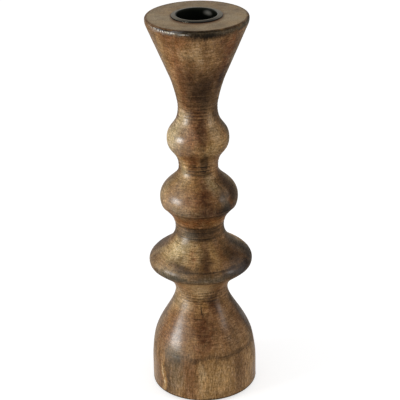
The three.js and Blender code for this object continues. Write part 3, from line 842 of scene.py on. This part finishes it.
def woodMaterial(look):
    material, tree, shader = newMaterial("stainedWood")
    position = objectPosition(tree)
    place = useGroup(tree, turnedPlace, {"Position": position, "Foot Height": wood["padThickness"]})
    figure = useGroup(tree, woodFigure, {"Position": position})
    haze = scuffed(tree, position, 900.0, 0.42)["Haze"]
    lines = lathed(tree, place, look["ringPitch"])
    grain = noiseValue(tree, stretched(tree, position, (1.0, 1.0, 0.7)), 1250.0, 3.0, 0.75)
    spots = strayedPlaces(tree, look, position, place, figure)
    crack = markMask(tree, look["crackMarks"], spots["crack"])

    base = stainColour(tree, look, position, place, figure, spots, crack)
    shade = grainShade(tree, look, position, place, figure, lines, grain)
    base = mixColour(tree, 1.0, base, shade, "MULTIPLY")
    base = mixColour(tree, times(tree, figure["Pore"], 0.5), base, look["pore"])

    onTop = remap(tree, place["Height"], *look["topFace"])
    inside = remap(tree, place["Radius"], *look["topEdge"])
    face = topFaceColour(tree, look, position, place, spots, grain)
    base = mixColour(tree, times(tree, times(tree, onTop, 0.92), inside), base, face)

    # the underside and the bore were never stained
    inBore = remap(tree, place["Radius"], *look["boreSide"])
    inBore = times(tree, inBore, remap(tree, place["Height"], *look["boreFloor"]))
    underneath = remap(tree, place["Height"], *look["underneath"])
    unstained = calc(tree, "MAXIMUM", underneath, times(tree, inBore, 0.7))
    base = mixColour(tree, times(tree, unstained, 0.74), base, look["raw"])

    # painted shade, darker and cooler, on the sides and on what looks down
    keptUnshaded = markMask(tree, look["keptUnshadedMarks"], spots["wide"])
    paintedShade = times(tree, markMask(tree, look["paintedShadeMarks"], spots["wide"]), without(tree, onTop))
    paintedShade = times(tree, paintedShade, without(tree, keptUnshaded))
    base = mixColour(tree, paintedShade, base, look["paintedShadeTint"], "MULTIPLY")
    amber = times(tree, markMask(tree, look["amberMarks"], spots["wide"]), without(tree, paintedShade))
    base = mixColour(tree, amber, base, look["amberTint"], "MULTIPLY")

    rough = remap(tree, haze, 0.0, 1.0, look["roughness"] - 0.06, look["roughness"] + 0.1)
    rough = calc(tree, "MULTIPLY_ADD", figure["Pore"], 0.2, rough)
    rough = calc(tree, "MULTIPLY_ADD", unstained, 0.35, rough, clamp=True)
    feedAll(tree, shader, {
        "Base Color": base, "Roughness": rough, "Specular IOR Level": look["specular"],
        "Coat Weight": varnishWeight(tree, look, place, spots, haze, onTop, unstained, keptUnshaded),
        "Coat Roughness": look["coatRoughness"], "Coat IOR": look["coatIor"],
        "Normal": woodRelief(tree, look, position, figure, lines, grain, crack),
    })
    return material


turnedWood = makeTurnedWood()
turnedWood.data.materials.append(woodMaterial(woodFinish))
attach(turnedWood, "holder")
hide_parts("turned_body")
print("turned wood made,", len(turnedWood.data.polygons), "faces")


# Black metal cup

cup = {
    "sides": 160, "seat": 0.2295, "sharpAngle": 50,
    "holeRadius": 0.0114, "wall": 0.0008, "depth": 0.0240, "cornerRound": 0.0024, "neckRound": 0.0001,
    "flangeRadius": 0.0144, "flangeThickness": 0.0009, "flangeFall": 0.00034, "flangeWarp": 0.00004,
    "edgeRound": 0.00034, "edgeRise": 0.00005, "underRound": 0.00012,
    "mouthRound": 0.0006, "mouthBlend": 0.0003, "mouthBlendFall": 0.00003,
    "dimpleRadius": 0.0022, "dimpleDepth": 0.0003, "dimpleEdge": 0.0006, "dimpleRound": 0.0004,
    # steps along the outline
    "steps": {
        "outside": 0.002, "underFlange": 0.0005, "edge": 0.0002, "onFlange": 0.0004,
        "inside": 0.0015, "dimple": 0.0008,
    },
}

cupFinish = {
    "paint": colour(30, 31, 26), "bareAndHighlight": colour(136, 134, 126), "dust": colour(142, 132, 112),
    "shade": colour(8, 8, 6), "holeShade": colour(14, 17, 12), "roughness": 0.34, "specular": 0.04,
}


def cupOutline():
    # From the middle of the underside, up the outside, over the flange and down to the floor.
    # Height 0 is the top face of the wood. The flange falls a little from the mouth to its edge.
    steps = cup["steps"]
    hole = cup["holeRadius"]
    flange = cup["flangeRadius"]
    outer = hole + cup["wall"]
    top = cup["flangeThickness"]
    floor = top - cup["depth"]
    under = floor - cup["wall"]
    edge = cup["edgeRound"]
    shoulder = top - cup["flangeFall"]
    outline = [(0.0, under)]
    straightTo(outline, outer - cup["cornerRound"], under, steps["outside"])
    roundTo(outline, (outer, under), outer, under + cup["cornerRound"])
    straightTo(outline, outer, -cup["neckRound"], steps["outside"])
    straightTo(outline, outer + cup["neckRound"], 0.0, steps["edge"])
    straightTo(outline, flange - cup["underRound"], 0.0, steps["underFlange"])
    roundTo(outline, (flange, 0.0), flange, cup["underRound"], 4)
    straightTo(outline, flange, shoulder - edge, steps["edge"])
    roundTo(outline, (flange, shoulder), flange - edge, shoulder + cup["edgeRise"], 6)
    mouth = hole + cup["mouthRound"]
    straightTo(outline, mouth + cup["mouthBlend"], top - cup["mouthBlendFall"], steps["onFlange"])
    straightTo(outline, mouth, top, steps["edge"])
    roundTo(outline, (hole, top), hole, top - cup["mouthRound"], 7)
    inner = cup["cornerRound"] - cup["wall"]
    straightTo(outline, hole, floor + inner, steps["inside"])
    roundTo(outline, (hole, floor), hole - inner, floor, 6)
    straightTo(outline, cup["dimpleRadius"] + cup["dimpleEdge"], floor, steps["inside"])
    dimpleFloor = floor - cup["dimpleDepth"]
    roundTo(outline, (cup["dimpleRadius"], floor), cup["dimpleRadius"] - cup["dimpleRound"], dimpleFloor, 4)
    straightTo(outline, 0.0, dimpleFloor, steps["dimple"])
    return outline


def makeCup():
    def place(angle, index, radius, height):
        turn = math.radians(angle)
        # a pressed flange is never quite flat
        dip = cup["flangeWarp"] * (1 + noise.noise(Vector((math.cos(turn), math.sin(turn), 7.0)) * 1.7))
        if radius > cup["holeRadius"] + cup["wall"] + 0.0002 and height > 0.0002:
            height -= dip
        return (radius * math.sin(turn), -radius * math.cos(turn), height + cup["seat"])

    piece = turnedMesh("candleCup", cupOutline(), cup["sides"], place)
    piece.data.set_sharp_from_angle(angle=math.radians(cup["sharpAngle"]))
    return piece


def cupMaterial(look):
    material, tree, shader = newMaterial("blackPaintedSteel")
    position = objectPosition(tree)
    place = useGroup(tree, turnedPlace, {"Position": position, "Foot Height": cup["seat"]})
    chips = scuffed(tree, position, 1100.0, 0.36)["Mask"]
    specks = scuffed(tree, position, 1500.0, 0.5)["Mask"]
    haze = scuffed(tree, position, 300.0, 0.4)["Haze"]
    drawn = lathed(tree, place, 0.5)["Fine"]
    spot = flatPlace(tree, place["Angle"], place["Height"])
    hole = cup["holeRadius"] * 1000  # millimetres, as the radius that a point is at
    flange = cup["flangeRadius"] * 1000

    # bare metal in chips along the flange's edge, most of them at the front left
    onEdge = remap(tree, place["Radius"], flange - 0.5, flange - 0.1)
    edgeWear = times(tree, times(tree, onEdge, remap(tree, place["Height"], 0.35, 0.8)), chips)
    frontLeft = times(tree, spotMask(tree, spot, -32.0, 0.5, 16.0, 2.0), specks)
    bare = calc(tree, "MAXIMUM", times(tree, edgeWear, 0.5), times(tree, frontLeft, onEdge))
    painted = without(tree, bare)
    base = mixColour(tree, bare, look["paint"], look["bareAndHighlight"])

    # dust on the flange, but not on the lip, which is worn bare, and lighter towards the front as a painted
    # highlight
    dusty = times(tree, remap(tree, place["Height"], -0.2, 0.1), remap(tree, haze, 0.0, 1.0, 0.45, 0.75))
    dusty = times(tree, dusty, without(tree, remap(tree, place["Radius"], hole + 0.8, hole + 0.4)))
    base = mixColour(tree, dusty, base, look["dust"])
    fromMouth = calc(tree, "ABSOLUTE", calc(tree, "SUBTRACT", place["Radius"], hole + 0.3))
    lipWearAndHighlight = times(tree, remap(tree, fromMouth, 0.4, 0.15), remap(tree, haze, 0.0, 1.0, 0.95, 0.6))
    lipWearAndHighlight = times(tree, lipWearAndHighlight, spotMask(tree, spot, 30.0, 0.5, 88.0, 4.0, 0.3))
    base = mixColour(tree, times(tree, lipWearAndHighlight, remap(tree, place["Height"], 0.4, 0.7)), base, look["bareAndHighlight"])

    # painted shade: the front of the flange and its side are darker
    shaded = times(tree, spotMask(tree, spot, 6.0, 0.5, 52.0, 4.0), painted)
    shaded = times(tree, shaded, remap(tree, place["Radius"], hole + 1.0, hole + 1.4))
    base = mixColour(tree, times(tree, shaded, 0.85), base, look["shade"])
    side = times(tree, remap(tree, place["Radius"], flange - 0.3, flange - 0.1), painted)
    base = mixColour(tree, side, base, look["shade"])

    # painted shade darkens the inside of the hole, and a painted glint lights a place at the back
    inHole = remap(tree, place["Radius"], hole + 0.3, hole + 0.2)
    paintedHoleShade = times(tree, inHole, remap(tree, place["Height"], 0.3, -0.6))
    base = mixColour(tree, times(tree, paintedHoleShade, 0.9), base, look["holeShade"])
    paintedGlint = times(tree, spotMask(tree, spot, 147.0, -1.7, 10.0, 1.1, 0.9, 0.9), inHole)
    base = mixColour(tree, paintedGlint, base, look["bareAndHighlight"])

    relief = calc(tree, "MULTIPLY_ADD", drawn, 0.4, times(tree, bare, -0.6))
    feedAll(tree, shader, {
        "Base Color": base, "Metallic": times(tree, bare, 0.8), "Specular IOR Level": look["specular"],
        "Roughness": remap(tree, haze, 0.0, 1.0, look["roughness"] - 0.06, look["roughness"] + 0.12),
        "Normal": bumped(tree, relief, 0.3, 0.0001),
    })
    return material


candleCup = makeCup()
candleCup.data.materials.append(cupMaterial(cupFinish))
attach(candleCup, "cup")
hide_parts("candle_cup")
print("candle cup made")


# Felt pads

pad = {
    "count": 4, "radius": 0.0060, "thickness": 0.0015, "circleRadius": 0.0210, "sides": 72,
    "edgeRound": 0.00035, "glueThickness": 0.00016, "glueInset": 0.00012,
    # the cut edge: the share of the radius inside it, how rough it is, and how far it lifts off the table
    "edgeFrom": 0.9, "edgeRoughness": 0.014, "edgeLift": 0.00003, "roughScale": 2600,
    "fibres": 260, "fibreLength": 0.0007, "fibreRoot": 0.00015, "fibreHalfWidth": 0.000016, "fibreLean": 1.1,
    "seed": 11,
    # steps along the outline
    "steps": {"under": 0.0005, "side": 0.00018, "glue": 0.0001, "top": 0.0008},
}

padFinish = {
    "felt": colour(58, 53, 49), "lint": colour(104, 97, 90), "glue": colour(176, 168, 150),
    "specular": 0.15, "sheen": 0.35,
}


def padOutline():
    # From the middle of the face on the table, round the edge and up to the glue under the wood.
    edge = pad["edgeRound"]
    glue = pad["thickness"] - pad["glueThickness"]
    inset = pad["glueInset"]
    steps = pad["steps"]
    outline = [(0.0, 0.0)]
    straightTo(outline, pad["radius"] - edge, 0.0, steps["under"])
    roundTo(outline, (pad["radius"], 0.0), pad["radius"], edge, 5)
    straightTo(outline, pad["radius"], glue - inset, steps["side"])
    straightTo(outline, pad["radius"] - inset, glue, steps["glue"])
    straightTo(outline, pad["radius"] - inset, pad["thickness"], steps["glue"])
    straightTo(outline, 0.0, pad["thickness"], steps["top"])
    return outline


def addFibres(piece, middle, seed):
    # Short loose fibres stand out of the cut edge.
    chance = random.Random(seed)
    half = pad["fibreHalfWidth"]
    mesh = bmesh.new()
    mesh.from_mesh(piece.data)
    for count in range(pad["fibres"]):
        turn = chance.uniform(0, 2 * math.pi)
        height = chance.uniform(0.00015, pad["thickness"] - 0.0004)
        root = middle + Vector((math.cos(turn), math.sin(turn), 0)) * (pad["radius"] - pad["fibreRoot"])
        root.z = height
        lean = turn + chance.uniform(-pad["fibreLean"], pad["fibreLean"])
        reach = Vector((math.cos(lean), math.sin(lean), 0)) * pad["fibreLength"] * chance.uniform(0.4, 1.0)
        tip = root + reach
        tip.z = min(max(height + chance.uniform(-0.0004, 0.0004), 0.00004), pad["thickness"] - 0.0002)
        aside = Vector((-reach.y, reach.x, 0)).normalized() * half
        rise = Vector((0, 0, half))
        corners = [mesh.verts.new(root + offset) for offset in (aside, -aside, rise * 2)]
        end = mesh.verts.new(tip)
        for first, second in ((0, 1), (1, 2), (2, 0)):
            mesh.faces.new((corners[first], corners[second], end))
    mesh.to_mesh(piece.data)
    mesh.free()


def makePad(number):
    turn = math.radians(360 * (number - 0.5) / pad["count"])
    middle = Vector((math.cos(turn), math.sin(turn), 0)) * pad["circleRadius"]

    def place(angle, index, radius, height):
        around = math.radians(angle)
        point = Vector((math.sin(around), -math.cos(around), 0)) * radius
        scaled = Vector((point.x, point.y, height)) * pad["roughScale"]
        rough = noise.noise(scaled + Vector((number * 9, 0, 0)))
        edge = max(0.0, radius / pad["radius"] - pad["edgeFrom"]) * 10
        point *= 1 - pad["edgeRoughness"] * edge * (1 + rough)
        point += middle
        point.z = height
        if 0.0 < height < pad["edgeRound"]:
            point.z += pad["edgeLift"] * (1 + rough)
        return point

    piece = turnedMesh(f"feltPad{number}", padOutline(), pad["sides"], place)
    addFibres(piece, middle, pad["seed"] + number)
    return piece


def feltMaterial(look):
    material, tree, shader = newMaterial("greyFelt")
    position = objectPosition(tree)
    tangle = noiseValue(tree, position, 2600.0, 5.0, 0.7)
    matted = noiseValue(tree, position, 500.0, 3.0, 0.6)
    lint = scuffed(tree, position, 2200.0, 0.45)["Mask"]
    loose = times(tree, remap(tree, tangle, 0.35, 0.68), remap(tree, matted, 0.3, 0.7, 0.2, 0.6))
    base = mixColour(tree, loose, look["felt"], look["lint"])
    base = mixColour(tree, times(tree, lint, 0.3), base, look["lint"])
    height = addNode(tree, "SeparateXYZ", {0: position}).outputs["Z"]
    glueHeight = pad["thickness"] - pad["glueThickness"]
    base = mixColour(tree, remap(tree, height, glueHeight - 0.00002, glueHeight), base, look["glue"])
    feedAll(tree, shader, {
        "Base Color": base, "Roughness": remap(tree, tangle, 0.3, 0.7, 0.88, 1.0),
        "Specular IOR Level": look["specular"], "Sheen Weight": look["sheen"],
        "Normal": bumped(tree, tangle, 0.8, 0.0002),
    })
    return material


greyFelt = feltMaterial(padFinish)
for number in range(1, pad["count"] + 1):
    feltPad = makePad(number)
    feltPad.data.materials.append(greyFelt)
    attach(feltPad, "holder")
    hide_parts(f"felt_pad_{number}")
print("felt pads made")


# Floor, light and camera

studio = {
    "floorSize": 6.0, "floorTone": 0.82, "floorGlow": 0.62, "ambient": 0.44,
    # angle from the front, elevation, distance, width, height, radiance
    "lamps": {
        "keySoftbox": (-70, 8.5, 2.2, 0.9, 1.1, 9.3),
        "fillSoftbox": (66, 17, 1.2, 0.22, 0.6, 5.6),
    },
    "aimHeight": 0.12,
}

camera = {
    "place": (0.0, -0.73452, 0.45607),
    "turn": (65.3156, 1.1961, -0.5082),  # degrees about x, y and z
    "lens": 125.64, "sensor": 36.0,
}


def seenRay(tree):
    path = addNode(tree, "LightPath").outputs
    seen = calc(tree, "MAXIMUM", path["Is Camera Ray"], path["Is Glossy Ray"])
    return calc(tree, "MAXIMUM", seen, path["Is Transmission Ray"])


def makeFloor():
    half = studio["floorSize"] / 2
    mesh = bpy.data.meshes.new("studioFloor")
    corners = [(-half, -half, 0), (half, -half, 0), (half, half, 0), (-half, half, 0)]
    mesh.from_pydata(corners, [], [(0, 1, 2, 3)])
    floor = bpy.data.objects.new("studioFloor", mesh)
    bpy.context.scene.collection.objects.link(floor)
    material, tree, shader = newMaterial("palePaper")
    tone = studio["floorTone"]
    feedAll(tree, shader, {
        "Base Color": (tone, tone, tone, 1), "Roughness": 0.9, "Specular IOR Level": 0.0,
        "Emission Color": (1, 1, 1, 1), "Emission Strength": times(tree, seenRay(tree), studio["floorGlow"]),
    })
    mesh.materials.append(material)
    floor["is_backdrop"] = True


def makeWorld():
    world = bpy.data.worlds.new("studioWorld")
    world.use_nodes = True
    tree = world.node_tree
    strength = remap(tree, seenRay(tree), 0.0, 1.0, studio["ambient"], 1.0)
    feedAll(tree, tree.nodes["Background"], {"Color": (1, 1, 1, 1), "Strength": strength})
    bpy.context.scene.world = world


def makeLamps():
    aim = Vector((0, 0, studio["aimHeight"]))
    for name, (angle, elevation, distance, width, height, radiance) in studio["lamps"].items():
        turn = math.radians(angle)
        rise = math.radians(elevation)
        level = math.cos(rise)
        away = Vector((math.sin(turn) * level, -math.cos(turn) * level, math.sin(rise)))
        light = bpy.data.lights.new(name, "AREA")
        light.shape = "RECTANGLE"
        light.size = width
        light.size_y = height
        light.energy = radiance * math.pi * width * height
        lamp = bpy.data.objects.new(name, light)
        lamp.location = aim + away * distance
        lamp.rotation_euler = (-away).to_track_quat("-Z", "Y").to_euler()
        lamp.visible_camera = False
        bpy.context.scene.collection.objects.link(lamp)


def makeCamera():
    lens = bpy.data.cameras.new("photoCamera")
    lens.lens = camera["lens"]
    lens.sensor_width = camera["sensor"]
    lens.clip_start = 0.05
    eye = bpy.data.objects.new("photoCamera", lens)
    eye.location = camera["place"]
    eye.rotation_euler = [math.radians(value) for value in camera["turn"]]
    bpy.context.scene.collection.objects.link(eye)
    bpy.context.scene.camera = eye


makeFloor()
makeWorld()
makeLamps()
makeCamera()
bpy.context.scene.view_settings.view_transform = "Standard"
print("floor, light and camera made")

boxes = {"cad": cadBox, "visual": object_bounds()}
{name: [list(corner) for corner in corners] for name, corners in boxes.items()}
